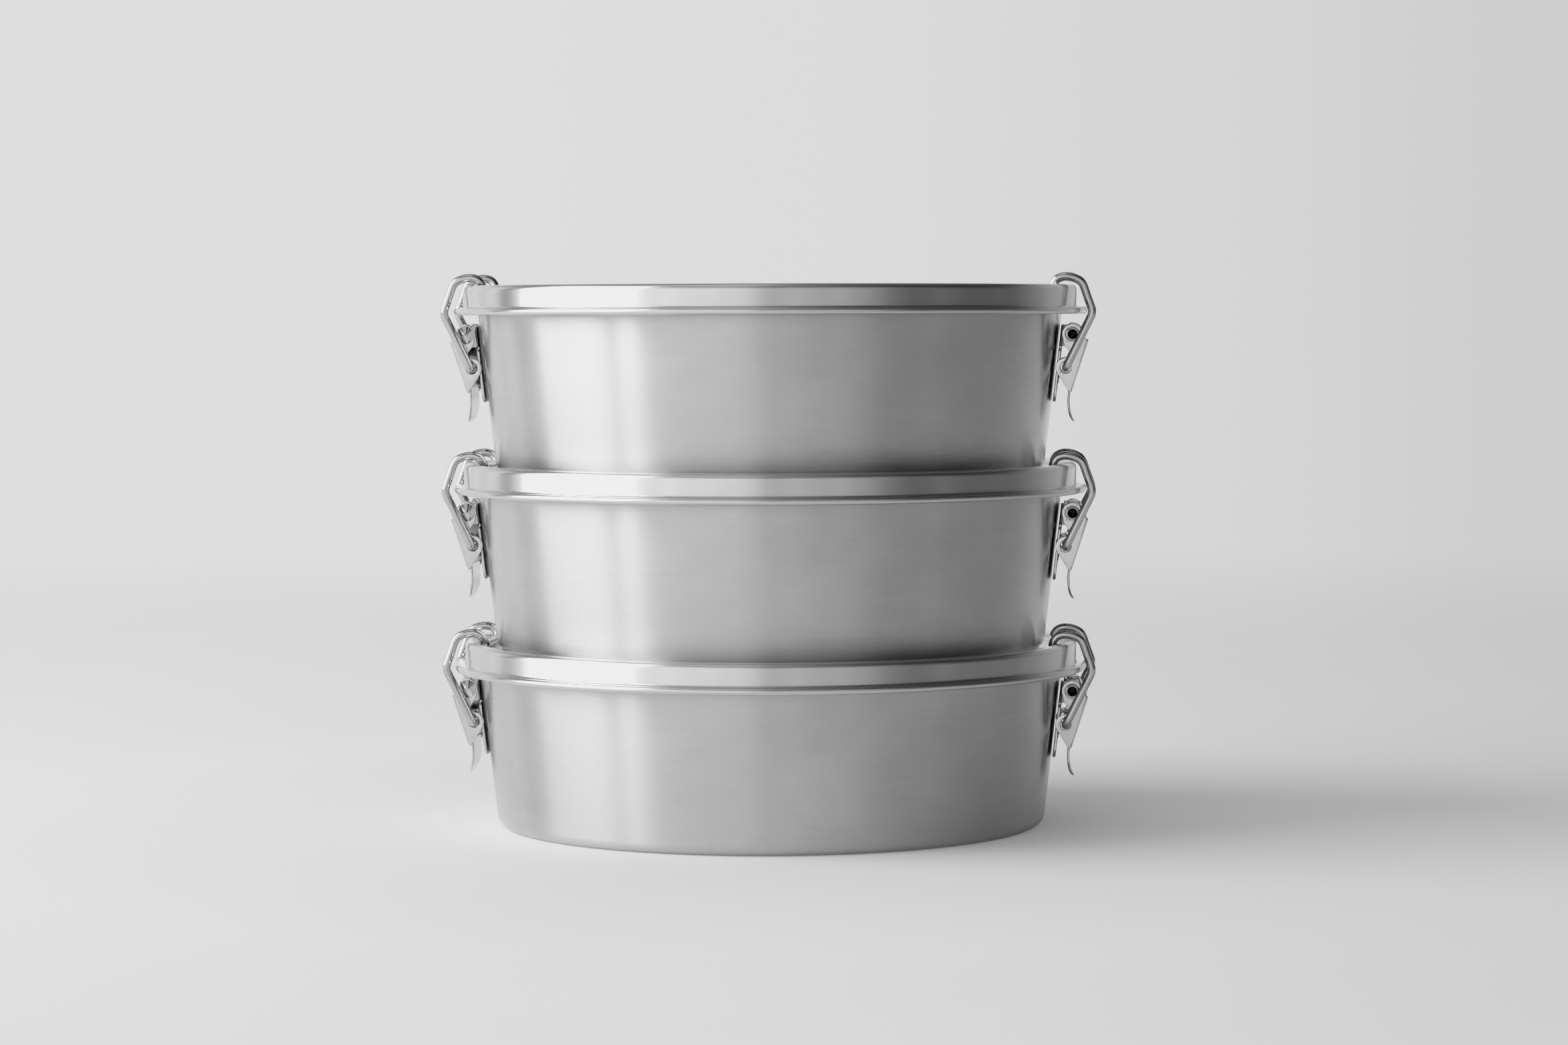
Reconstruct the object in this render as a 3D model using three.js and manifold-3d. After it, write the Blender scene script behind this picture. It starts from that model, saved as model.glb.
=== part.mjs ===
// Stacked tiffin carrier: three round steel containers, each with a lid held by two wire-bail
// toggle latches. Millimetres, +Z up, origin at the middle of the lowest base.
// The latches sit on the +X and -X sides; each is the same piece turned half a turn about Z.
import * as THREE from "three";
import { mergeVertices } from "three/addons/utils/BufferGeometryUtils.js";
import Module from "manifold-3d";

const wasm = await Module();
wasm.setup();

// Driving dimensions
const TIERS = 3;
const PITCH = 45.65; // base of one container to the base of the next
const SEGMENTS = 36; // facets round every revolved body
const BEAD_Z = 40.35; // underside of the lid's bead, above the container's base
const BEAD_R = 81.65;
const BEAD_THICK = 1.75;
const SKIRT_R = 79;
const SKIRT_INNER_R = 78.4;
const CROWN_Z = 47.85; // top of the lid's raised ring
const RECESS_Z = 45.6; // floor of the recess that the next container stands in
const RING_INNER_R = 75.3;
const SHEET = 0.6; // steel sheet of lids and walls

const WALL_TOP_R = 75.1;
const WALL_TOP_Z = 40;
const WALL_FOOT_R = 70.9;
const WALL_FOOT_Z = 3;
const FOOT_RING_R = 67.9;
const FLOOR_Z = 1.3; // inside floor
const BASE_PANEL_Z = 0.6; // raised middle of the base
const RIM_R = 76.4; // centre of the rolled rim
const RIM_Z = 43.5;
const RIM_ROLL = 1.25;

const WIRE_R = 1.05;
const LEG_Y = 12.3; // bail legs, either side of the latch's middle
const CHEEK_OUTER_Y = 9.9;
const EAR_OUTER_Y = 8.9;
const PLATE = 0.8; // thickness of the lever's and bracket's sheet
const TAB_HALF_WIDTH = 7;
const PIVOT = new THREE.Vector2(78, -5.2); // latch sections are (X, Z above the bead's underside)
const HOOK_HOLE = new THREE.Vector2(76.3, -13.8);
const PIN_R = 1.45;
const PIN_HOLE_R = 1.6;
const BAIL_HOLE_R = 1.4;

const wallSlope = (WALL_TOP_R - WALL_FOOT_R) / (WALL_TOP_Z - WALL_FOOT_Z);

const steel = { color: 0xb9bbbd, roughness: 0.32, metalness: 1 };
const lidSteel = { color: 0xc2c4c6, roughness: 0.24, metalness: 1 };
const latchSteel = { color: 0xcfd0d1, roughness: 0.14, metalness: 1 };
const silicone = { color: 0xe9e9e4, roughness: 0.65, metalness: 0 };

function vectors(points) {
  return points.map(([a, b]) => new THREE.Vector2(a, b));
}

// A closed profile of (radius, z) points turned about Z.
function revolved(points, segments = SEGMENTS) {
  return new THREE.LatheGeometry(vectors(points), segments).rotateX(Math.PI / 2);
}

function solid(geometry) {
  const bare = geometry.clone();
  bare.deleteAttribute("normal");
  bare.deleteAttribute("uv");
  const merged = mergeVertices(bare, 1e-4);
  return new wasm.Manifold(
    new wasm.Mesh({
      numProp: 3,
      vertProperties: merged.attributes.position.array,
      triVerts: new Uint32Array(merged.index.array),
    }),
  );
}

function geometryOf(manifold) {
  const mesh = manifold.getMesh();
  const geometry = new THREE.BufferGeometry();
  geometry.setAttribute("position", new THREE.BufferAttribute(mesh.vertProperties, 3));
  geometry.setIndex(new THREE.BufferAttribute(mesh.triVerts, 1));
  return geometry.toNonIndexed();
}

// A section in X and Z, given thickness from y0 to y1.
function plateBetween(shape, y0, y1) {
  const options = { depth: y1 - y0, bevelEnabled: false, curveSegments: 3 };
  const geometry = new THREE.ExtrudeGeometry(shape, options);
  return solid(geometry.rotateX(Math.PI / 2).translate(0, y1, 0));
}

function roundHole(centre, radius) {
  const points = [];
  for (let i = 0; i < 12; i += 1) {
    const turn = (-Math.PI * i) / 6;
    points.push([centre.x + radius * Math.cos(turn), centre.y + radius * Math.sin(turn)]);
  }
  return new THREE.Path(vectors(points));
}

// Container: raised base panel, tapered wall and a rim rolled outwards.
function containerBody() {
  const roll = [-150, -90, -30, 30, 90, 150].map((degrees) => {
    const turn = (degrees * Math.PI) / 180;
    return [RIM_R + RIM_ROLL * Math.cos(turn), RIM_Z + RIM_ROLL * Math.sin(turn)];
  });
  return revolved([
    [0, BASE_PANEL_Z],
    [58, BASE_PANEL_Z],
    [59.2, 0],
    [FOOT_RING_R, 0],
    [70, 0.9],
    [WALL_FOOT_R, WALL_FOOT_Z],
    [WALL_TOP_R, WALL_TOP_Z],
    ...roll,
    [WALL_TOP_R - SHEET, WALL_TOP_Z],
    [WALL_FOOT_R - SHEET, WALL_FOOT_Z + 0.8],
    [69.2, 2.2],
    [66.9, FLOOR_Z],
    [0, FLOOR_Z],
  ]);
}

// Lid: recessed top inside a raised ring, a skirt, and a bead round its foot.
function lidBody() {
  return revolved([
    [0, RECESS_Z - SHEET],
    [75.2, RECESS_Z - SHEET],
    [RING_INNER_R + SHEET, RECESS_Z + 0.3],
    [RING_INNER_R + SHEET, CROWN_Z - SHEET],
    [SKIRT_INNER_R, CROWN_Z - SHEET],
    [SKIRT_INNER_R, BEAD_Z],
    [BEAD_R - 0.75, BEAD_Z],
    [BEAD_R, BEAD_Z + BEAD_THICK / 2],
    [BEAD_R - 0.75, BEAD_Z + BEAD_THICK],
    [SKIRT_R + 0.5, BEAD_Z + BEAD_THICK],
    [SKIRT_R, BEAD_Z + BEAD_THICK + 0.5],
    [SKIRT_R, CROWN_Z - 1],
    [SKIRT_R - 0.3, CROWN_Z - 0.3],
    [SKIRT_R - 1, CROWN_Z],
    [RING_INNER_R + 0.8, CROWN_Z],
    [RING_INNER_R + 0.25, CROWN_Z - 0.25],
    [RING_INNER_R, CROWN_Z - 0.75],
    [RING_INNER_R, RECESS_Z + 0.6],
    [RING_INNER_R - 0.6, RECESS_Z],
    [0, RECESS_Z],
  ]);
}

// Soft seal, lying in the channel under the lid's raised ring.
function gasketBody() {
  return revolved([
    [76.15, 45.15],
    [78.15, 45.15],
    [78.15, 46.95],
    [76.15, 46.95],
    [76.15, 45.15],
  ]);
}

// Bracket: a plate following the wall's taper, with two ears that carry the pivot pin.
function bracketBody() {
  const top = -2.7;
  const foot = -22.2;
  const backAt = (z) => WALL_TOP_R + wallSlope * (z + BEAD_Z - WALL_TOP_Z) + 0.3;
  const back = new THREE.Shape(
    vectors([
      [backAt(top), top],
      [backAt(foot), foot],
      [backAt(foot) + PLATE, foot],
      [backAt(top) + PLATE, top],
    ]),
  );
  const ear = new THREE.Shape();
  ear.moveTo(backAt(top) + PLATE / 2, top);
  ear.lineTo(backAt(-8.4) + PLATE / 2, -8.4);
  ear.lineTo(backAt(-8.4) + 1.8, -8.4);
  ear.absarc(PIVOT.x, PIVOT.y, 2.9, -Math.PI / 3, (100 * Math.PI) / 180, false);
  ear.holes.push(roundHole(PIVOT, PIN_HOLE_R));
  let body = plateBetween(back, -EAR_OUTER_Y, EAR_OUTER_Y);
  body = body.add(plateBetween(ear, EAR_OUTER_Y - PLATE, EAR_OUTER_Y));
  body = body.add(plateBetween(ear, -EAR_OUTER_Y, PLATE - EAR_OUTER_Y));
  return geometryOf(body);
}

// One side cheek of the lever: a lobe on the pivot, a waist, and a lobe round the bail's hole.
function cheekShape() {
  const lobe = 2.7;
  const foot = 2.6;
  const cheek = new THREE.Shape();
  cheek.moveTo(82.45, -6.6);
  cheek.absarc(PIVOT.x, PIVOT.y, lobe, 0.6, 3.5, false);
  cheek.lineTo(75.9, -7.9);
  cheek.lineTo(77.3, -9.8);
  cheek.lineTo(77.2, -10.7);
  cheek.absarc(HOOK_HOLE.x, HOOK_HOLE.y, foot, 1.65, 3.73, false);
  cheek.lineTo(77.2, -19.9);
  cheek.lineTo(77.65, -20.1);
  cheek.closePath();
  cheek.holes.push(roundHole(PIVOT, PIN_HOLE_R), roundHole(HOOK_HOLE, BAIL_HOLE_R));
  return cheek;
}

// Lever: two cheeks, the web that joins them on the outside, and a curved finger tab.
function leverBody() {
  const web = new THREE.Shape(
    vectors([
      [82.45, -6.6],
      [81.8, -6.85],
      [76.6, -20.2],
      [77.65, -20.1],
    ]),
  );
  const tab = new THREE.Shape(
    vectors([
      [78, -19.2],
      [77.3, -19.2],
      [76.75, -21.7],
      [76.95, -24.5],
      [77.4, -26.4],
      [78.1, -27.75],
      [78.75, -27.45],
      [78.05, -26.1],
      [77.6, -24.4],
      [77.45, -21.7],
    ]),
  );
  const cheek = cheekShape();
  let body = plateBetween(web, -CHEEK_OUTER_Y, CHEEK_OUTER_Y);
  body = body.add(plateBetween(cheek, CHEEK_OUTER_Y - PLATE, CHEEK_OUTER_Y));
  body = body.add(plateBetween(cheek, -CHEEK_OUTER_Y, PLATE - CHEEK_OUTER_Y));

  const outline = new THREE.Shape();
  outline.moveTo(-TAB_HALF_WIDTH, -19);
  outline.lineTo(-TAB_HALF_WIDTH, -24);
  outline.quadraticCurveTo(-TAB_HALF_WIDTH, -28, 0, -28);
  outline.quadraticCurveTo(TAB_HALF_WIDTH, -28, TAB_HALF_WIDTH, -24);
  outline.lineTo(TAB_HALF_WIDTH, -19);
  outline.closePath();
  const across = new THREE.ExtrudeGeometry(outline, {
    depth: 8,
    bevelEnabled: false,
    curveSegments: 3,
  });
  // The outline's own X and Y become the row's Y and Z, and its thickness runs along X.
  across.applyMatrix4(new THREE.Matrix4().set(0, 0, 1, 74, 1, 0, 0, 0, 0, 1, 0, 0, 0, 0, 0, 1));
  const tabPlate = plateBetween(tab, -TAB_HALF_WIDTH, TAB_HALF_WIDTH);
  return geometryOf(body.add(tabPlate.intersect(solid(across))));
}

// Pivot pin: a pointed head on the +Y side and a rolled hollow tail on the -Y side.
function pinBody() {
  const head = CHEEK_OUTER_Y + 0.05;
  const tail = -CHEEK_OUTER_Y - 0.05;
  const profile = [
    [0, tail + 1.4],
    [1.1, tail + 1.2],
    [1.2, tail - 0.8],
    [1.75, tail - 0.7],
    [1.75, tail],
    [PIN_R, tail],
    [PIN_R, head],
    [2.4, head],
    [2.3, head + 0.25],
    [1.1, head + 0.85],
    [0, head + 1.15],
  ];
  const turned = new THREE.LatheGeometry(vectors(profile), 12);
  return turned.translate(PIVOT.x, 0, PIVOT.y);
}

// Centreline of half the bail's wire, from its turned-in end to the middle of its hooked bar.
const BAIL_HALF = [
  [76.3, 8.55, -13.8],
  [76.3, 11.1, -13.8],
  [76.43, 12, -13.53],
  [76.81, LEG_Y, -12.71],
  [82.45, LEG_Y, -1.06],
  [82.93, LEG_Y, 0.25],
  [82.7, LEG_Y, 1.5],
  [80.8, LEG_Y, 7.1],
  [80.1, LEG_Y, 8.2],
  [78.9, LEG_Y, 8.95],
  [76.6, LEG_Y, 9.5],
  [74.4, LEG_Y, 9.1],
  [73.25, 12.2, 7.9],
  [72.98, 11.87, 6.93],
  [72.95, 11, 6.6],
];

// A path that goes straight from knot to knot, so the wire has one ring at each knot.
class WirePath extends THREE.Curve {
  constructor(knots) {
    super();
    this.knots = knots;
  }

  getPoint(t, target = new THREE.Vector3()) {
    const at = t * (this.knots.length - 1);
    const i = Math.min(Math.floor(at), this.knots.length - 2);
    return target.lerpVectors(this.knots[i], this.knots[i + 1], at - i);
  }

  getPointAt(u, target) {
    return this.getPoint(u, target);
  }

  getTangentAt(u, target = new THREE.Vector3()) {
    const last = this.knots.length - 1;
    const i = Math.round(u * last);
    const before = this.knots[Math.max(i - 1, 0)];
    const here = this.knots[i];
    const after = this.knots[Math.min(i + 1, last)];
    const arriving = here.clone().sub(before).normalize();
    const leaving = after.clone().sub(here).normalize();
    return target.copy(arriving).add(leaving).normalize();
  }
}

function bailBody() {
  const half = BAIL_HALF.map(([x, y, z]) => new THREE.Vector3(x, y, z));
  const other = half.map((p) => new THREE.Vector3(p.x, -p.y, p.z)).reverse();
  const knots = [...half, ...other];
  const section = new THREE.Shape();
  section.absarc(0, 0, WIRE_R, 0, 2 * Math.PI, false);
  return new THREE.ExtrudeGeometry(section, {
    steps: knots.length - 1,
    curveSegments: 4,
    bevelEnabled: false,
    extrudePath: new WirePath(knots),
  });
}

function named(name, geometry, look) {
  const mesh = new THREE.Mesh(geometry, new THREE.MeshStandardMaterial(look));
  mesh.name = name;
  return mesh;
}

const container = containerBody();
const lid = lidBody();
const gasket = gasketBody();
const bracket = bracketBody();
const lever = leverBody();
const pin = pinBody();
const bail = bailBody();

function latchGroup(suffix, turn) {
  const group = new THREE.Group();
  group.position.z = BEAD_Z;
  group.rotation.z = turn;
  group.add(named(`bracket_${suffix}`, bracket, latchSteel));
  group.add(named(`lever_${suffix}`, lever, latchSteel));
  group.add(named(`pin_${suffix}`, pin, latchSteel));
  group.add(named(`bail_${suffix}`, bail, latchSteel));
  return group;
}

const carrier = new THREE.Group();
for (let tier = 1; tier <= TIERS; tier += 1) {
  const group = new THREE.Group();
  group.position.z = (tier - 1) * PITCH;
  group.add(named(`container_${tier}`, container, steel));
  group.add(named(`lid_${tier}`, lid, lidSteel));
  group.add(named(`gasket_${tier}`, gasket, silicone));
  group.add(latchGroup(`${tier}_right`, 0));
  group.add(latchGroup(`${tier}_left`, Math.PI));
  carrier.add(group);
}

export default carrier;
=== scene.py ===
"""Looks of the stacked tiffin carrier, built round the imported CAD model.

Every shown piece is a finer version of one CAD node: rounded sheet-metal edges, smooth wire and
turned steel. Shapes are written in millimetres in the part's frame, and scaled to metres when made.
The floor, lights and camera are in metres and degrees.
"""

import math

import bmesh
import bpy
from mathutils import Matrix, Vector


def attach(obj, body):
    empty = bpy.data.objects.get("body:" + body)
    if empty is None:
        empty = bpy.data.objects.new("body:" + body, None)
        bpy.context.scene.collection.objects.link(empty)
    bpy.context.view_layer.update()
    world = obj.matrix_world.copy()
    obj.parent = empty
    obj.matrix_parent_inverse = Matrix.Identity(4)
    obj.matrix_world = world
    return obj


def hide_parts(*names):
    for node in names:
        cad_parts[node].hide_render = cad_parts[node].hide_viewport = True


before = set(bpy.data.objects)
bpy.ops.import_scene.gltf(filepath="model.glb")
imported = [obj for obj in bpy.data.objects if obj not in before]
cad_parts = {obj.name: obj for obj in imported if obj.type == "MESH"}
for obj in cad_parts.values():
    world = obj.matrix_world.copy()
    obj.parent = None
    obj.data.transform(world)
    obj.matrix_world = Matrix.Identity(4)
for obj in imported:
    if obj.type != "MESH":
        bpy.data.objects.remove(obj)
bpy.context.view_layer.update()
scene = bpy.context.scene

# Driving dimensions, in millimetres
MM = 0.001
TIERS = 3
PITCH = 45.65  # base of one container to the base of the next
BEAD_Z = 40.35  # underside of the lid's bead, above the container's base
BEAD_TOP_Z = 42.1
BEAD_R = 81.65
SKIRT_R = 79.0
SKIRT_INNER_R = 78.4
CROWN_Z = 47.85
RECESS_Z = 45.6
RING_INNER_R = 75.3
SHEET = 0.6  # thickness of the container's wall and the lid
WALL_TOP_R = 75.1
WALL_TOP_Z = 40.0
WALL_FOOT_R = 70.9
WALL_FOOT_Z = 3.0
FLOOR_Z = 1.3
BASE_PANEL_Z = 0.6  # the raised middle of the base
BASE_PANEL_R = 57.8
BASE_RING_R = 58.8  # inner edge of the flat ring that the base stands on
RIM_R = 76.4
RIM_Z = 43.5
RIM_ROLL = 1.25
WALL_SLOPE = (WALL_TOP_R - WALL_FOOT_R) / (WALL_TOP_Z - WALL_FOOT_Z)
SEAL_INNER_R, SEAL_OUTER_R = 76.15, 78.15
SEAL_FOOT_Z, SEAL_TOP_Z = 45.15, 46.95

WIRE_R = 1.05
LEG_Y = 12.3
CHEEK_OUTER_Y = 9.9
EAR_OUTER_Y = 8.9
PLATE = 0.8  # latch sheet
PLATE_EDGE = 0.14  # its edge rounding on the ears and cheeks
WALL_GAP = 0.3  # between the wall and the bracket
TAB_HALF_WIDTH = 7.0
PIVOT = (78.0, -5.2)  # latch sections are (X, Z above the bead's underside)
HOOK_HOLE = (76.3, -13.8)
PIN_R = 1.45
BORE_R = 1.26  # of the hollow in the pin's tail
PIN_HOLE_R = 1.6
BAIL_HOLE_R = 1.4
TAIL_HOLE_R = 1.85  # the pin's rolled tail stands free inside this hole of the lever

LATHE_STEPS = 192
PIN_STEPS = 48
ARC_STEPS = 5
EDGE_BENDS = (0, 30, 60, 90)  # degrees through which a plate's or wire's edge is rounded
SIDE_LIMIT = 0.49  # most of an outline's side that one rounding takes
MITRE_LIMIT = 0.5  # least cosine that stretches an inset corner
WIRE_SIDES = 20
WIRE_END = 0.35  # rounding of a wire's cut end
CREASE = 40  # degrees above which an edge shades sharp
ON_AXIS = 1e-6
SIDES = {"right": 0.0, "left": math.pi}  # turn of each latch about Z


# ---------------------------------------------------------------- outlines


def arc(centre, radius, start, end, steps):
    """Points on a circle, from one angle to another in degrees."""
    turns = [math.radians(start + (end - start) * i / steps) for i in range(steps + 1)]
    return [(centre[0] + radius * math.cos(t), centre[1] + radius * math.sin(t)) for t in turns]


def circle(centre, radius):
    """A closed outline of 24 points."""
    return arc(centre, radius, 0, 345, 23)


def soften(corners, steps=ARC_STEPS):
    """Rounds a closed outline. A corner is (a, b) and stays sharp, or (a, b, radius)."""
    points = []
    count = len(corners)
    for i, corner in enumerate(corners):
        here = Vector(corner[:2])
        if len(corner) == 2 or corner[2] == 0:
            points.append(tuple(here))
            continue
        to_before = Vector(corners[i - 1][:2]) - here
        to_after = Vector(corners[(i + 1) % count][:2]) - here
        half = to_before.angle(to_after) / 2
        room = SIDE_LIMIT * min(to_before.length, to_after.length)
        reach = min(corner[2] / math.tan(half), room)
        radius = reach * math.tan(half)
        middle = (to_before.normalized() + to_after.normalized()).normalized()
        centre = here + middle * (radius / math.sin(half))
        first = here + to_before.normalized() * reach - centre
        last = here + to_after.normalized() * reach - centre
        start = math.atan2(first.y, first.x)
        turn = (math.atan2(last.y, last.x) - start + math.pi) % (2 * math.pi) - math.pi
        for k in range(steps + 1):
            angle = start + turn * k / steps
            points.append((centre.x + radius * math.cos(angle), centre.y + radius * math.sin(angle)))
    return points


# ---------------------------------------------------------------- solids


def finish_mesh(name, build):
    """Turns a bmesh in millimetres into a smooth-shaded mesh in metres, creased at sharp edges."""
    bmesh.ops.recalc_face_normals(build, faces=build.faces)
    bmesh.ops.scale(build, vec=(MM, MM, MM), verts=build.verts)
    mesh = bpy.data.meshes.new(name)
    build.to_mesh(mesh)
    build.free()
    mesh.shade_smooth()
    mesh.set_sharp_from_angle(angle=math.radians(CREASE))
    return mesh


def stitch(build, before, after):
    """Quads between two closed rings of the same number of vertices."""
    count = len(before)
    for i in range(count):
        j = (i + 1) % count
        build.faces.new((before[i], before[j], after[j], after[i]))


def turned(build, profile, axis=(0.0, 0.0), along="Z", steps=LATHE_STEPS):
    """A closed profile of (radius, height) points, turned about Z, or about Y through (X, Z)."""

    def place(radius, height, turn):
        a, b = radius * math.cos(turn), radius * math.sin(turn)
        return (a, b, height) if along == "Z" else (axis[0] + a, height, axis[1] + b)

    rings = []
    for radius, height in profile:
        if radius < ON_AXIS:
            rings.append([build.verts.new(place(0, height, 0))])
        else:
            rings.append(
                [build.verts.new(place(radius, height, 2 * math.pi * i / steps)) for i in range(steps)]
            )
    for i, ring in enumerate(rings):
        following = rings[(i + 1) % len(rings)]
        if len(ring) == 1 and len(following) == 1:
            continue
        if len(ring) == len(following):
            stitch(build, ring, following)
            continue
        tip, edge = (ring[0], following) if len(ring) == 1 else (following[0], ring)
        for k in range(steps):
            build.faces.new((tip, edge[k], edge[(k + 1) % steps]))
    return build


def inset(loop, amount):
    """Moves a closed loop to its left by amount, which is inwards when it runs anticlockwise."""
    moved = []
    for i, point in enumerate(loop):
        here = Vector(point)
        arriving = (here - Vector(loop[i - 1])).normalized()
        leaving = (Vector(loop[(i + 1) % len(loop)]) - here).normalized()
        tangent = (arriving + leaving).normalized()
        square = max(MITRE_LIMIT, tangent.dot(arriving))
        moved.append(tuple(here + Vector((-tangent.y, tangent.x)) * amount / square))
    return moved


def area(loop):
    """Area of a closed loop, positive when it runs anticlockwise."""
    return sum(a[0] * b[1] - b[0] * a[1] for a, b in zip(loop, loop[1:] + loop[:1])) / 2


def plate(build, outline, holes, thickness, edge, place):
    """A flat plate with rounded edges and holes. place turns (u, v, depth) into a point."""
    loops = [outline if area(outline) > 0 else outline[::-1]]
    loops += [hole if area(hole) < 0 else hole[::-1] for hole in holes]
    depths = []
    for bend in (math.radians(b) for b in EDGE_BENDS):
        depths.append((edge * (1 - math.sin(bend)), edge * (1 - math.cos(bend))))
    rows = depths + [(i, thickness - d) for i, d in depths[::-1]]
    ends = ([], [])
    for loop in loops:
        rings = []
        for amount, depth in rows:
            moved = inset(loop, amount)
            rings.append([build.verts.new(place(u, v, depth)) for u, v in moved])
        for one, other in zip(rings, rings[1:]):
            stitch(build, one, other)
        ends[0].append(rings[0])
        ends[1].append(rings[-1])
    for rings in ends:
        edges = []
        for ring in rings:
            pairs = zip(ring, ring[1:] + ring[:1])
            edges += [build.edges.get(pair) for pair in pairs]
        bmesh.ops.triangle_fill(build, use_beauty=True, edges=edges)


def loft(build, sections):
    """A closed skin through rings of points, capped at both ends."""
    rings = [[build.verts.new(p) for p in section] for section in sections]
    for one, other in zip(rings, rings[1:]):
        stitch(build, one, other)
    build.faces.new(rings[0])
    build.faces.new(rings[-1])


def smooth_path(knots, per_span):
    """A Catmull-Rom curve through the knots, spaced by the square root of their distance."""
    points = [Vector(k) for k in knots]
    points = [2 * points[0] - points[1], *points, 2 * points[-1] - points[-2]]
    path = []
    for i in range(1, len(points) - 2):
        p = points[i - 1 : i + 3]
        t = [0.0]
        for a, b in zip(p, p[1:]):
            t.append(t[-1] + math.sqrt((b - a).length))
        for k in range(per_span):
            at = t[1] + (t[2] - t[1]) * k / per_span
            a1 = p[0].lerp(p[1], (at - t[0]) / (t[1] - t[0]))
            a2 = p[1].lerp(p[2], (at - t[1]) / (t[2] - t[1]))
            a3 = p[2].lerp(p[3], (at - t[2]) / (t[3] - t[2]))
            b1 = a1.lerp(a2, (at - t[0]) / (t[2] - t[0]))
            b2 = a2.lerp(a3, (at - t[1]) / (t[3] - t[1]))
            path.append(b1.lerp(b2, (at - t[1]) / (t[2] - t[1])))
    path.append(points[-2])
    return path


def wire(build, path, radius):
    """A round wire along a path, its cut ends slightly rounded."""
    rings = []
    last = len(path) - 1
    normal = Vector((0, 0, 1))
    turns = [2 * math.pi * k / WIRE_SIDES for k in range(WIRE_SIDES)]
    for i, here in enumerate(path):
        tangent = (path[min(i + 1, last)] - path[max(i - 1, 0)]).normalized()
        normal = (normal - tangent * normal.dot(tangent)).normalized()
        across = tangent.cross(normal)
        inwards = {0: 1, last: -1}.get(i, 0)
        bends = EDGE_BENDS[::inwards] if inwards else EDGE_BENDS[-1:]
        for bend in (math.radians(b) for b in bends):
            centre = here + tangent * (inwards * WIRE_END * (1 - math.cos(bend)))
            size = radius - WIRE_END * (1 - math.sin(bend))
            rings.append(
                [centre + (normal * math.cos(t) + across * math.sin(t)) * size for t in turns]
            )
    loft(build, rings)


# ---------------------------------------------------------------- the pieces


def container_mesh():
    """Base panel, rounded foot, tapered wall and a rim rolled outwards."""
    foot_r = WALL_FOOT_R - WALL_FOOT_Z * WALL_SLOPE
    roll = arc((RIM_R, RIM_Z), RIM_ROLL, -150, 195, 20)
    profile = soften(
        [
            (0, BASE_PANEL_Z),
            (BASE_PANEL_R, BASE_PANEL_Z, 0.8),
            (BASE_RING_R, 0, 0.8),
            (foot_r, 0, 3.0),
            (WALL_TOP_R, WALL_TOP_Z, 3.0),
            *roll,
            (WALL_TOP_R - SHEET, WALL_TOP_Z, 3.0),
            (WALL_FOOT_R - SHEET - 0.3, FLOOR_Z, 3.4),
            (0, FLOOR_Z),
        ]
    )
    return finish_mesh("container_shell", turned(bmesh.new(), profile))


def lid_mesh():
    """Recessed top inside a raised ring, a skirt, and a bead round its foot."""
    under_z = RECESS_Z - SHEET
    profile = soften(
        [
            (0, under_z),
            (RING_INNER_R + 0.3, under_z, 0.8),
            (RING_INNER_R + SHEET, CROWN_Z - SHEET, 0.4),
            (SKIRT_INNER_R, CROWN_Z - SHEET, 0.5),
            (SKIRT_INNER_R, BEAD_Z, 0.25),
            (BEAD_R, BEAD_Z, 0.8),
            (BEAD_R, BEAD_TOP_Z, 0.8),
            (SKIRT_R, BEAD_TOP_Z, 0.5),
            (SKIRT_R, CROWN_Z, 1.4),
            (RING_INNER_R, CROWN_Z, 0.9),
            (RING_INNER_R, RECESS_Z, 0.8),
            (0, RECESS_Z),
        ]
    )
    return finish_mesh("lid_shell", turned(bmesh.new(), profile))


def gasket_mesh():
    """Soft seal in the channel under the lid's raised ring."""
    profile = soften(
        [
            (SEAL_INNER_R, SEAL_FOOT_Z, 0.5),
            (SEAL_OUTER_R, SEAL_FOOT_Z, 0.5),
            (SEAL_OUTER_R, SEAL_TOP_Z, 0.4),
            (SEAL_INNER_R, SEAL_TOP_Z, 0.4),
        ]
    )
    return finish_mesh("gasket_ring", turned(bmesh.new(), profile))


def upright(y0):
    """Places a section in X and Z, its thickness running along +Y from y0."""
    return lambda u, v, depth: (u, y0 + depth, v)


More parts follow.
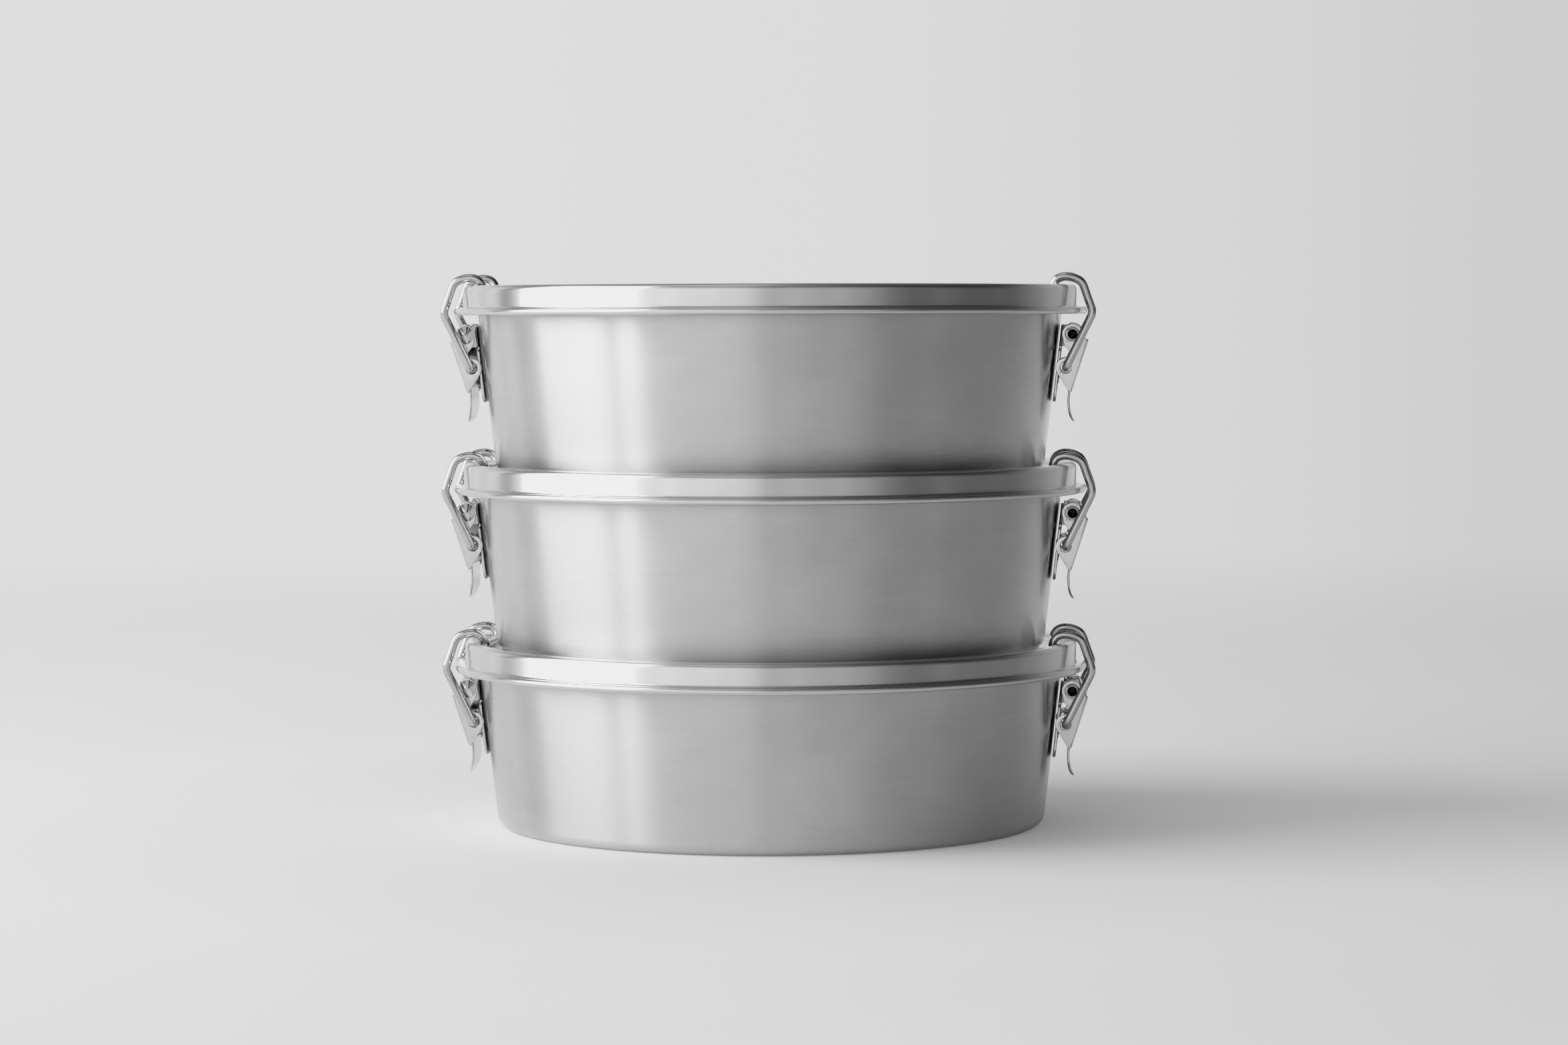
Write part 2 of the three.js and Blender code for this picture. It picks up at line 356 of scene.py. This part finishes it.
def bracket_mesh():
    """A plate that follows the wall, two folded ears that carry the pivot pin, and two spot welds."""
    top, foot, ear_foot, fold_r = -2.7, -22.6, -8.4, 1.7
    weld_y, weld_z, weld_r, weld_rise = 4.6, -16.5, 1.3, 0.18
    wall_at = WALL_TOP_R + WALL_SLOPE * (BEAD_Z - WALL_TOP_Z) + WALL_GAP
    slant = math.atan(WALL_SLOPE)
    out, up = (math.cos(slant), -math.sin(slant)), (math.sin(slant), math.cos(slant))

    def on_wall(u, v, depth):
        return (wall_at + v * up[0] + depth * out[0], u, v * up[1] + depth * out[1])

    build = bmesh.new()
    half = EAR_OUTER_Y
    neck = half - fold_r + 0.1
    right = [
        (half, foot, 2.4),
        (half, ear_foot - 0.8, 0.6),
        (neck, ear_foot - 0.5, 0.2),
        (neck, top, 0.2),
    ]
    back = soften([*right, *[(-u, v, r) for u, v, r in right[::-1]]])
    plate(build, back, [], PLATE, 0.3, on_wall)
    for y in (-weld_y, weld_y):
        plate(build, circle((y, weld_z), weld_r), [], PLATE + weld_rise, 0.16, on_wall)
    trim, full = 0.12, 0.3  # the fold's ends are trimmed a little, and full this far in
    heights = [(ear_foot + trim, trim), (ear_foot + full, 0), (top - full, 0), (top - trim, trim)]
    root = wall_at + fold_r - 0.1
    for side in (-1, 1):
        sections = []
        for z, cut in heights:
            middle = (wall_at + z * WALL_SLOPE + fold_r, half - fold_r)
            outer = arc(middle, fold_r - cut, 180, 90, 10)
            inner = arc(middle, fold_r - PLATE + cut, 90, 180, 10)
            sections.append([(x, side * y, z) for x, y in outer + inner])
        loft(build, sections)
    ear = soften(
        [
            (root + top * WALL_SLOPE, top, 0.3),
            (root + ear_foot * WALL_SLOPE, ear_foot, 0.3),
            *arc(PIVOT, 2.9, -60, 100, 18),
        ]
    )
    for y0 in (half - PLATE, -half):
        plate(build, ear, [circle(PIVOT, PIN_HOLE_R)], PLATE, PLATE_EDGE, upright(y0))
    return finish_mesh("bracket_plate", build)


def cheek_outline():
    """Side of the lever: a lobe on the pivot, a waist, and a lobe round the bail's hole."""
    return soften(
        [
            (81.6, -6.8, 0.3),
            *arc(PIVOT, 2.7, 34, 200, 20),
            (75.9, -7.9, 1.2),
            (77.3, -9.8, 0.5),
            (77.2, -10.7, 0.5),
            *arc(HOOK_HOLE, 2.6, 95, 214, 16),
            (77.1, -19.9, 0.2),
            (77.4, -20.1, 0.1),
        ]
    )


TAB_LINE = [  # middle of the finger tab's sheet, from the lever's apex to its tip
    (77.25, 0, -18.6),
    (77.1, 0, -20.4),
    (76.98, 0, -22.0),
    (77.12, 0, -24.4),
    (77.6, 0, -26.3),
    (78.4, 0, -27.7),
]


def tab_sections():
    """Rounded strips across the finger tab, narrowing to its tip."""
    thickness = 0.62
    narrows_at, bluntness, least_half = -23.4, 2.3, 0.9
    tip_length, tip_share = 0.5, 0.3  # the sheet thins to this share over its last stretch
    path = smooth_path(TAB_LINE, 8)
    sections = []
    for i, here in enumerate(path):
        before, after = path[max(i - 1, 0)], path[min(i + 1, len(path) - 1)]
        along = (after - before).normalized()
        square = Vector((-along.z, 0, along.x))
        below = max(0.0, (narrows_at - here.z) / (narrows_at - path[-1].z))
        half = TAB_HALF_WIDTH * math.sqrt(max(0.0, 1 - below**bluntness))
        half = max(half, least_half)
        gone = 1 - min(1.0, (path[-1] - here).length / tip_length)
        edge = max(tip_share, math.sqrt(1 - gone**2)) * thickness / 2
        ring = []
        for side in (1, -1):
            for t in (90, 60, 30, 0, -30, -60, -90):
                turn = math.radians(t)
                y = side * (half - edge + edge * math.cos(turn))
                ring.append(here + Vector((0, y, 0)) + square * (side * edge * math.sin(turn)))
        sections.append(ring)
    return sections


def lever_mesh():
    """Two cheeks folded from an outer web, and the curved finger tab below."""
    build = bmesh.new()
    for y0, pin_hole_r in ((CHEEK_OUTER_Y - PLATE, PIN_HOLE_R), (-CHEEK_OUTER_Y, TAIL_HOLE_R)):
        holes = [circle(PIVOT, pin_hole_r), circle(HOOK_HOLE, BAIL_HOLE_R)]
        plate(build, cheek_outline(), holes, PLATE, PLATE_EDGE, upright(y0))
    top, apex = Vector((82.1, -6.6)), Vector((77.65, -20.1))
    down = (apex - top).normalized()
    inward = Vector((down.y, -down.x))

    def on_web(u, v, depth):
        point = top + down * v + inward * depth
        return (point.x, u, point.y)

    half, length = CHEEK_OUTER_Y, (apex - top).length
    web_sheet, web_edge = 0.7, 0.34
    web = soften([(-half, 0, 0.4), (half, 0, 0.4), (half, length, 1.6), (-half, length, 1.6)])
    plate(build, web, [], web_sheet, web_edge, on_web)
    loft(build, tab_sections())
    return finish_mesh("lever_sheet", build)


def pin_mesh():
    """Rivet: a pointed head on the +Y side and a rolled hollow tail on the -Y side."""
    head, tail = CHEEK_OUTER_Y + 0.05, -CHEEK_OUTER_Y - 0.05
    head_r, tail_r, tail_reach = 2.4, 1.56, 0.5
    profile = soften(
        [
            (0, tail + 6.0),
            (1.0, tail + 5.6, 0.3),
            (BORE_R, tail - tail_reach, 0.1),
            (tail_r, tail - tail_reach, 0.14),
            (tail_r, tail + 1.2),
            (PIN_R, tail + 1.2),
            (PIN_R, head),
            (head_r, head, 0.1),
            (head_r - 0.04, head + 0.3, 0.2),
            (0.22, head + 1.12, 0.2),
            (0.16, head + 1.0, 0.05),
            (0, head + 0.95),
        ],
        3,
    )
    mesh = finish_mesh("pin_rivet", turned(bmesh.new(), profile, PIVOT, "Y", PIN_STEPS))
    mesh.materials.append(LOOKS["latch_steel"])
    # the bore's faces take nearly black steel: painted shade inside the hollow tail
    mesh.materials.append(LOOKS["bore"])
    for face in mesh.polygons:
        x, y, z = face.center / MM
        in_bore = math.hypot(x - PIVOT[0], z - PIVOT[1]) < BORE_R + 0.02 and tail - 0.3 < y < 0
        face.material_index = 1 if in_bore else 0
    return mesh


BAIL_HALF = [  # middle of half the bail's wire, from its turned-in end to its hooked bar
    (76.3, 8.55, -13.8),
    (76.3, 10.9, -13.8),
    (76.4, 11.9, -13.6),
    (76.85, LEG_Y, -12.63),
    (77.6, LEG_Y, -11.08),
    (79.5, LEG_Y, -7.16),
    (81.4, LEG_Y, -3.23),
    (82.32, LEG_Y, -1.42),
    (82.86, LEG_Y, -0.1),
    (82.9, LEG_Y, 1.0),
    (82.55, LEG_Y, 2.2),
    (82.0, LEG_Y, 3.7),
    (81.45, LEG_Y, 5.25),
    (80.8, LEG_Y, 7.1),
    (80.1, LEG_Y, 8.2),
    (78.9, LEG_Y, 8.95),
    (77.3, LEG_Y, 9.45),
    (75.6, LEG_Y, 9.5),
    (74.1, LEG_Y, 8.95),
    (73.25, 12.2, 7.9),
    (72.98, 11.87, 6.93),
    (72.95, 11.0, 6.6),
    (72.95, 8.0, 6.6),
    (72.95, 3.0, 6.6),
]


def bail_mesh():
    """The wire bail: two turned-in ends, cranked legs, and a bar that hooks over the lid's ring."""
    other = [(x, -y, z) for x, y, z in BAIL_HALF[::-1]]
    build = bmesh.new()
    wire(build, smooth_path([*BAIL_HALF, *other], 4), WIRE_R)
    mesh = finish_mesh("bail_wire", build)
    # the bail takes a darker copy of the latch steel: painted shade on the wire's reflections
    mesh.materials.append(LOOKS["wire"])
    return mesh


# ---------------------------------------------------------------- materials


BUMP_DEPTH = 0.00002  # metres


class Nodes:
    """A short way to write a node tree."""

    def __init__(self, tree):
        self.tree = tree
        tree.nodes.clear()

    def add(self, kind, inputs=None, **settings):
        node = self.tree.nodes.new(kind)
        for key, value in settings.items():
            setattr(node, key, value)
        for key, value in (inputs or {}).items():
            if isinstance(value, bpy.types.NodeSocket):
                self.tree.links.new(value, node.inputs[key])
            else:
                node.inputs[key].default_value = value
        return node

    def math(self, operation, a, b=0.0):
        return self.add("ShaderNodeMath", {0: a, 1: b}, operation=operation).outputs[0]

    def blend(self, a, share, b):
        """A value made of a times share and b times the rest."""
        return self.math("ADD", self.math("MULTIPLY", a, share), self.math("MULTIPLY", b, 1 - share))

    def vector(self, operation, inputs, output=0):
        return self.add("ShaderNodeVectorMath", inputs, operation=operation).outputs[output]

    def noise(self, vector, cells, detail=2.0, roughness=0.5):
        """Noise with so many cells to the metre along X, Y and Z."""
        scaled = self.vector("MULTIPLY", {0: vector, 1: cells})
        inputs = {"Vector": scaled, "Scale": 1.0, "Detail": detail, "Roughness": roughness}
        return self.add("ShaderNodeTexNoise", inputs).outputs["Fac"]

    def remap(self, value, low, high, to_low, to_high):
        inputs = {0: value, 1: low, 2: high, 3: to_low, 4: to_high}
        return self.add("ShaderNodeMapRange", inputs).outputs[0]

    def spread(self, noise, low, high):
        """The middle of a noise's range, stretched to run from low to high."""
        return self.remap(noise, 0.3, 0.7, low, high)

    def grey(self, value):
        return self.add("ShaderNodeCombineColor", {0: value, 1: value, 2: value}).outputs[0]

    def ramp(self, value, stops):
        node = self.add("ShaderNodeValToRGB", {0: value})
        ramp = node.color_ramp
        ramp.interpolation = "EASE"
        while len(ramp.elements) < len(stops):
            ramp.elements.new(0.5)
        for element, (position, level) in zip(ramp.elements, stops):
            element.position = position
            element.color = (level, level, level, 1)
        return node.outputs[0]

    def mix(self, share, a, b):
        """Colour a, turning into colour b as share goes from 0 to 1, by the node's colour sockets."""
        return self.add("ShaderNodeMix", {0: share, 6: a, 7: b}, data_type="RGBA").outputs[2]

    def bump(self, strength, height):
        inputs = {"Strength": strength, "Distance": BUMP_DEPTH, "Height": height}
        return self.add("ShaderNodeBump", inputs).outputs[0]

    def surface(self, inputs):
        """A principled surface, as the material's result."""
        shader = self.add("ShaderNodeBsdfPrincipled", inputs).outputs[0]
        self.add("ShaderNodeOutputMaterial", {0: shader})


def new_material(name):
    """A material, its empty node tree, and the coordinate that its patterns follow."""
    material = bpy.data.materials.new(name)
    material.use_nodes = True
    nodes = Nodes(material.node_tree)
    return material, nodes, nodes.add("ShaderNodeTexCoord").outputs["Object"]


def turned_steel(name, shade, roughness, anisotropy, grain, blotch):
    """Sheet steel brushed round its axis: fine rings on flat faces, level lines on walls."""
    material, nodes, place = new_material(name)
    x, y, z = nodes.add("ShaderNodeSeparateXYZ", {0: place}).outputs
    flat = nodes.add("ShaderNodeCombineXYZ", {0: x, 1: y}).outputs[0]
    across = nodes.math("ADD", z, nodes.vector("LENGTH", {0: flat}, "Value"))
    grainy = nodes.add("ShaderNodeCombineXYZ", {0: x, 1: y, 2: across}).outputs[0]
    fine_share, patch_relief = 0.65, 0.15
    fine = nodes.noise(grainy, (150, 150, 3600))
    broad = nodes.noise(grainy, (40, 40, 900))
    patches = nodes.noise(place, (50, 50, 60))

    streaks = nodes.blend(fine, fine_share, broad)
    marks = nodes.math("MULTIPLY", streaks, grain)
    marks = nodes.math("ADD", marks, nodes.math("MULTIPLY", patches, blotch))
    middle = 0.5 * (grain + blotch)
    level = nodes.remap(marks, middle - 0.5, middle + 0.5, shade * 0.9, shade * 1.1)
    rough = nodes.remap(marks, middle - 0.5, middle + 0.5, roughness * 1.2, roughness * 0.8)
    height = nodes.math("ADD", streaks, nodes.math("MULTIPLY", patches, patch_relief))
    nodes.surface(
        {
            "Base Color": nodes.grey(level),
            "Metallic": 1.0,
            "Roughness": rough,
            "Anisotropic": anisotropy,
            "Anisotropic Rotation": 0.25,
            "Tangent": nodes.add("ShaderNodeTangent", direction_type="RADIAL", axis="Z").outputs[0],
            "Normal": nodes.bump(0.1, height),
        }
    )
    return material


def polished_steel(name, shade, roughness):
    """Bright drawn wire and pressed sheet, with faint scratches and dull patches."""
    material, nodes, place = new_material(name)
    scratches = nodes.noise(place, (2600, 300, 420), 3, 0.6)
    patches = nodes.noise(place, (260, 260, 260))
    marks = nodes.blend(scratches, 0.5, patches)
    nodes.surface(
        {
            "Base Color": nodes.grey(nodes.spread(marks, shade * 0.9, shade * 1.06)),
            "Metallic": 1.0,
            "Roughness": nodes.spread(marks, roughness * 1.5, roughness * 0.6),
            "Normal": nodes.bump(0.1, scratches),
        }
    )
    return material


def dull_steel_painted_dark(name, shade, roughness):
    """Unpolished steel, painted dark as the shade inside a drilled hole."""
    material, nodes, place = new_material(name)
    marks = nodes.noise(place, (400, 3000, 400), 2, 0.6)
    nodes.surface(
        {
            "Base Color": nodes.grey(nodes.spread(marks, shade * 0.7, shade * 1.3)),
            "Metallic": 1.0,
            "Roughness": nodes.spread(marks, roughness * 1.1, roughness * 0.9),
        }
    )
    return material


def silicone():
    """Milky rubber with a faint mould texture."""
    material, nodes, place = new_material("silicone")
    cloud = nodes.noise(place, (120, 120, 120))
    pores = nodes.noise(place, (2500, 2500, 2500))
    nodes.surface(
        {
            "Base Color": nodes.grey(nodes.spread(cloud, 0.74, 0.84)),
            "Roughness": nodes.spread(pores, 0.5, 0.68),
            "Subsurface Weight": 0.15,
            "Subsurface Radius": (0.001, 0.001, 0.001),
            "Normal": nodes.bump(0.2, pores),
        }
    )
    return material


# ---------------------------------------------------------------- putting it together

LOOKS = {
    "wall_steel": turned_steel(
        "brushed_wall_steel", shade=0.62, roughness=0.31, anisotropy=1.0, grain=0.8, blotch=0.6
    ),
    "lid_steel": turned_steel(
        "satin_lid_steel", shade=0.66, roughness=0.24, anisotropy=0.85, grain=0.45, blotch=0.3
    ),
    "latch_steel": polished_steel("polished_latch_steel", shade=0.68, roughness=0.06),
    "seal": silicone(),
    # painted shade: nearly black steel for the inside of the pin's hollow tail
    "bore": dull_steel_painted_dark("bore_steel_painted_dark", shade=0.1, roughness=0.55),
    # painted shade: the latch steel made darker for the bail, so its wire reflects darker
    "wire": polished_steel("wire_steel_painted_darker", shade=0.56, roughness=0.05),
}


def show(mesh, name, body, slot, node, place):
    """Puts one piece in the scene in place of its CAD node."""
    piece = bpy.data.objects.new(name, mesh)
    scene.collection.objects.link(piece)
    piece.matrix_world = place
    if not mesh.materials:
        mesh.materials.append(LOOKS[slot])
    if slot == "latch_steel":
        flatten = piece.modifiers.new("flat_faces", "WEIGHTED_NORMAL")
        flatten.keep_sharp = True
    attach(piece, body)
    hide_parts(node)


shell, lid, gasket = container_mesh(), lid_mesh(), gasket_mesh()
latch = [
    ("bracket", "plate", bracket_mesh()),
    ("lever", "sheet", lever_mesh()),
    ("pin", "rivet", pin_mesh()),
    ("bail", "wire", bail_mesh()),
]

for tier in range(1, TIERS + 1):
    base = (tier - 1) * PITCH
    raised = Matrix.Translation((0, 0, base * MM))
    show(shell, f"container_{tier}_shell", f"container_{tier}", "wall_steel", f"container_{tier}", raised)
    show(lid, f"lid_{tier}_shell", f"lid_{tier}", "lid_steel", f"lid_{tier}", raised)
    show(gasket, f"gasket_{tier}_ring", f"lid_{tier}", "seal", f"gasket_{tier}", raised)
    for side, turn in SIDES.items():
        place = Matrix.Translation((0, 0, (base + BEAD_Z) * MM)) @ Matrix.Rotation(turn, 4, "Z")
        for part, form, mesh in latch:
            node = f"{part}_{tier}_{side}"
            body = node if part in ("lever", "bail") else f"container_{tier}"
            show(mesh, f"{node}_{form}", body, "latch_steel", node, place)


# ---------------------------------------------------------------- floor, light and camera

VIEW_TURN = 4.0  # degrees the camera stands round towards +X from straight in front
VIEW_TILT = 2.94  # degrees the camera looks down
VIEW_ROLL = -0.145
VIEW_DISTANCE = 1.065  # metres from the carrier's axis
VIEW_HEIGHT = 0.1325
VIEW_ASIDE = 0.0035
LENS = 94.55
SENSOR = 36.0

BACKDROP_SHADE = [(0.0, 0.738), (0.34, 0.712), (0.7, 0.652), (1.0, 0.585)]  # painted shade: the backdrop's grey, darkening from left to right as the window's light falls off
BACKDROP_SPAN = (-0.16, 0.11)  # the same, as the X part of the view direction
FLOOR_ALBEDO = 0.86
FLOOR_MOTTLE = 0.015
FLOOR_LIFT = 0.12  # haze of bounced light that the camera sees on the table
LIFT_FADE = 0.08  # the steel mirrors the haze on its left, fading out from X = -this to +this
FAR_LIFT = 0.085  # more haze behind and to the left, growing with distance
FAR_FROM, FAR_TO = 0.08, 0.22  # from the carrier's axis
FAR_RIGHT = 0.3  # X at which it has gone
FLOOR_R = 1.6
FADE_FROM, FADE_TO = 0.34, 1.3  # from the axis, where the table melts into the backdrop

WINDOW_DISTANCE = 1.6
WINDOW_ELEVATION = 27.0
WINDOW_HEIGHT = 1.4
WINDOW_RADIANCE = 3.0
WINDOW_AIM_Z = 0.07
WINDOW_PANES = [(-80.5, 1.07), (-52.5, 0.25)]  # azimuth in degrees from -Y towards +X, and width
HIGHLIGHT = 0.86  # brightest level shown
TONE_KNEE = 0.72  # levels up to this are shown as they are
DARK_FROM, DARK_TO = 0.36, 0.6  # height of direction between which the room darkens upwards
CEILING = 0.16
ZENITH_FROM, ZENITH = 0.66, 0.6  # straight up it is lighter again
RIPPLES, RIPPLE_DEPTH = 10.0, 0.26  # soft upright bands round the room
FLAG_FROM, FLAG_TO = 42.0, 70.0  # azimuths of a low dark screen in front on the right
FLAG_TOP = 0.16  # its height, as the Z part of the direction
FLAG_LEVEL = 0.4
FLAG_EDGES = (5, 10, 0.05)  # softness of its near side, its far side and its top
HORIZON = 0.03  # half height of the soft line between ground and room


def direction(azimuth, elevation):
    """A unit vector, its azimuth in degrees from -Y towards +X."""
    a, e = math.radians(azimuth), math.radians(elevation)
    return Vector((math.sin(a) * math.cos(e), -math.cos(a) * math.cos(e), math.sin(e)))


def make_floor():
    """A pale table top that melts into the backdrop with distance."""
    build = bmesh.new()
    bmesh.ops.create_circle(build, cap_ends=True, cap_tris=True, segments=128, radius=FLOOR_R)
    mesh = bpy.data.meshes.new("floor")
    build.to_mesh(mesh)
    build.free()
    floor = bpy.data.objects.new("floor", mesh)
    scene.collection.objects.link(floor)
    material, nodes, place = new_material("pale_floor")
    far = nodes.vector("LENGTH", {0: place}, "Value")
    cloud = nodes.noise(place, (6, 6, 6))
    low, high = FLOOR_ALBEDO * (1 - FLOOR_MOTTLE), FLOOR_ALBEDO * (1 + FLOOR_MOTTLE)
    matte = nodes.add("ShaderNodeBsdfDiffuse", {"Color": nodes.grey(nodes.spread(cloud, low, high))})
    seen = nodes.add("ShaderNodeLightPath").outputs["Is Camera Ray"]
    across = nodes.add("ShaderNodeSeparateXYZ", {0: place}).outputs[0]
    left = nodes.remap(across, -LIFT_FADE, LIFT_FADE, 1.0, 0.0)
    near = nodes.math("MULTIPLY", nodes.math("MAXIMUM", seen, left), FLOOR_LIFT)
    away = nodes.remap(far, FAR_FROM, FAR_TO, 0.0, 1.0)
    away = nodes.math("MULTIPLY", away, nodes.remap(across, 0.0, FAR_RIGHT, 1.0, 0.0))
    lift = nodes.math("ADD", near, nodes.math("MULTIPLY", away, FAR_LIFT))
    glow = nodes.add("ShaderNodeEmission", {"Color": (1, 1, 1, 1), "Strength": lift}).outputs[0]
    matte = nodes.add("ShaderNodeAddShader", {0: matte.outputs[0], 1: glow}).outputs[0]
    clear = nodes.add("ShaderNodeBsdfTransparent").outputs[0]
    fade = nodes.add(
        "ShaderNodeMapRange",
        {0: far, 1: FADE_FROM, 2: FADE_TO, 3: 0.0, 4: 1.0},
        interpolation_type="SMOOTHSTEP",
    ).outputs[0]
    mixed = nodes.add("ShaderNodeMixShader", {0: fade, 1: matte, 2: clear}).outputs[0]
    nodes.add("ShaderNodeOutputMaterial", {0: mixed})
    mesh.materials.append(material)


ROOM = [  # grey level near the horizon, by azimuth in degrees
    (-180, 0.7),
    (-150, 0.8),
    (-119, 0.8),
    (-114, 0.2),
    (-109, 0.2),
    (-104, 0.9),
    (-46, 1.2),
    (-36, 1.2),
    (-16, 1.02),
    (-7, 0.96),
    (-1, 0.82),
    (2, 0.48),
    (6, 0.54),
    (12, 0.6),
    (26, 0.48),
    (44, 0.32),
    (64, 0.14),
    (84, 0.07),
    (104, 0.08),
    (124, 0.22),
    (144, 0.36),
    (164, 0.42),
    (180, 0.7),
]
GROUND = [  # grey level below the horizon
    (-180, 0.72),
    (-90, 0.85),
    (-20, 0.85),
    (20, 0.5),
    (70, 0.2),
    (110, 0.2),
    (180, 0.72),
]


def make_world():
    """A soft studio: bright on the left, darker on the right, and a pale backdrop with painted shade,
    darker from left to right.
    """
    world = bpy.data.worlds.new("studio")
    scene.world = world
    world.use_nodes = True
    nodes = Nodes(world.node_tree)
    way = nodes.add("ShaderNodeTexCoord").outputs["Generated"]
    x, y, z = nodes.add("ShaderNodeSeparateXYZ", {0: way}).outputs
    azimuth = nodes.math("ARCTAN2", x, nodes.math("MULTIPLY", y, -1.0))
    share = nodes.remap(azimuth, -math.pi, math.pi, 0.0, 1.0)
    room = nodes.ramp(share, [((a + 180) / 360, level) for a, level in ROOM])
    ground = nodes.ramp(share, [((a + 180) / 360, level) for a, level in GROUND])
    fall = nodes.remap(z, DARK_FROM, DARK_TO, 1.0, CEILING)
    zenith = nodes.remap(z, ZENITH_FROM, 1.0, CEILING, ZENITH)
    compass = nodes.vector("NORMALIZE", {0: nodes.add("ShaderNodeCombineXYZ", {0: x, 1: y}).outputs[0]})
    ripple = nodes.noise(compass, (RIPPLES, RIPPLES, RIPPLES), 3, 0.6)
    ripple = nodes.spread(ripple, 1 - RIPPLE_DEPTH, 1 + RIPPLE_DEPTH)
    dim = nodes.math("MULTIPLY", nodes.math("MAXIMUM", fall, zenith), ripple)
    room = nodes.vector("SCALE", {0: room, "Scale": dim})
    lit = nodes.mix(nodes.remap(z, -HORIZON, HORIZON, 0.0, 1.0), ground, room)

    near_edge, far_edge, top_edge = FLAG_EDGES
    degrees = nodes.math("MULTIPLY", azimuth, math.degrees(1))
    begun = nodes.remap(degrees, FLAG_FROM, FLAG_FROM + near_edge, 0.0, 1.0)
    ended = nodes.remap(degrees, FLAG_TO - far_edge, FLAG_TO, 1.0, 0.0)
    low = nodes.remap(nodes.math("ABSOLUTE", z), FLAG_TOP, FLAG_TOP + top_edge, 1.0, 0.0)
    screened = nodes.math("MULTIPLY", nodes.math("MULTIPLY", begun, ended), low)
    lit = nodes.mix(nodes.remap(screened, 0.0, 1.0, 1.0, FLAG_LEVEL), (0, 0, 0, 1), lit)

    # painted shade: the camera sees the backdrop grey, darkening from left to right as the window light
    # falls off
    shaded_backdrop = nodes.ramp(nodes.remap(x, *BACKDROP_SPAN, 0.0, 1.0), BACKDROP_SHADE)
    seen = nodes.add("ShaderNodeLightPath").outputs["Is Camera Ray"]
    colour = nodes.mix(seen, lit, shaded_backdrop)
    background = nodes.add("ShaderNodeBackground", {"Color": colour, "Strength": 1.0})
    nodes.add("ShaderNodeOutputWorld", {0: background.outputs[0]})


def make_window(name, azimuth, width):
    """A soft rectangular light that faces the carrier."""
    light = bpy.data.lights.new(name, "AREA")
    light.shape = "RECTANGLE"
    light.size, light.size_y = width, WINDOW_HEIGHT
    light.energy = WINDOW_RADIANCE * math.pi * width * WINDOW_HEIGHT
    lamp = bpy.data.objects.new(name, light)
    scene.collection.objects.link(lamp)
    back = direction(azimuth, WINDOW_ELEVATION)
    lamp.location = Vector((0, 0, WINDOW_AIM_Z)) + back * WINDOW_DISTANCE
    lamp.rotation_euler = back.to_track_quat("Z", "Y").to_euler()
    lamp.visible_camera = False


def make_camera():
    """A long lens, almost level with the carrier and a little to the right of straight in front."""
    camera = bpy.data.cameras.new("camera")
    camera.lens = LENS
    camera.sensor_width = SENSOR
    camera.clip_start = 0.01
    camera.clip_end = 50
    holder = bpy.data.objects.new("camera", camera)
    scene.collection.objects.link(holder)
    turn = math.radians(VIEW_TURN)
    back = Vector((math.sin(turn), -math.cos(turn), 0))
    right = Vector((math.cos(turn), math.sin(turn), 0))
    holder.location = back * VIEW_DISTANCE + right * VIEW_ASIDE + Vector((0, 0, VIEW_HEIGHT))
    facing = Matrix.Rotation(turn, 4, "Z") @ Matrix.Rotation(math.radians(90 - VIEW_TILT), 4, "X")
    holder.rotation_euler = (facing @ Matrix.Rotation(math.radians(VIEW_ROLL), 4, "Z")).to_euler()
    scene.camera = holder


def set_tone():
    """Plain display, with highlights held just under white as in a soft product picture."""
    scene.view_settings.view_transform = "Standard"
    scene.view_settings.use_curve_mapping = True
    mapping = scene.view_settings.curve_mapping
    mapping.extend = "HORIZONTAL"
    curve = mapping.curves[3]  # for all three colours together
    curve.points[0].location = (0.0, 0.0)
    curve.points[1].location = (1.0, HIGHLIGHT)
    curve.points.new(TONE_KNEE, TONE_KNEE)
    mapping.update()


make_floor()
make_world()
for number, (azimuth, width) in enumerate(WINDOW_PANES, 1):
    make_window(f"window_{number}", azimuth, width)
make_camera()
set_tone()
